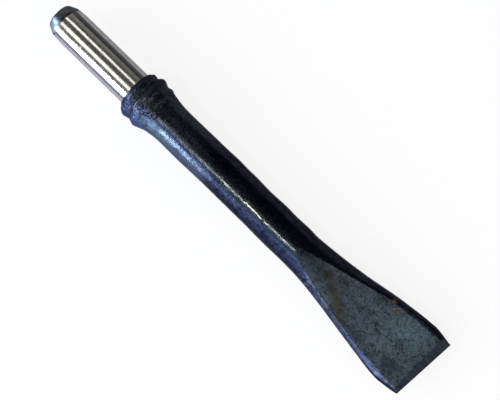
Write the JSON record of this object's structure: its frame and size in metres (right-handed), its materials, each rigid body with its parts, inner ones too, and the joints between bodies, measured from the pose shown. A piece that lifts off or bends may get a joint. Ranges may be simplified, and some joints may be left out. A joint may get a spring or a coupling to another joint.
{
  "type": "jackhammer chisel bit",
  "caption": "Forged chisel bit for a pick hammer: ground round shank, upset collar, round bar and a wide spade blade with a bevelled cutting edge.",
  "frame": {"origin": "on the axis, in the plane of the collar's seat, where the shank stops against the hammer", "axes": "+X along the axis towards the cutting edge, +Y across the blade's width, +Z square to the blade's upper face"},
  "size_m": [0.3213, 0.0492, 0.0337],
  "materials": {
    "dark_end": "unground, dark blued scale",
    "ground_steel": "bright, ground round the axis",
    "collar_scale": "blue-black forge scale, lumpy",
    "bar_scale": "blue-black forge scale, hammered and satin",
    "blade_scale": "mottled slate-grey scale with a few rust spots",
    "edge_steel": "dark navy, ground before hardening"
  },
  "bodies": {
    "root": {"striking_end": "dark_end", "ground_shank": "ground_steel", "collar_seat": "collar_scale", "collar_lip": "collar_scale", "collar_ring": "collar_scale", "collar_shoulder": "collar_scale", "flared_neck": "bar_scale", "forged_shaft": "bar_scale", "blade_root": "blade_scale", "spade_blade": "blade_scale", "cutting_bevel": "edge_steel"}
  },
  "joints": []
}
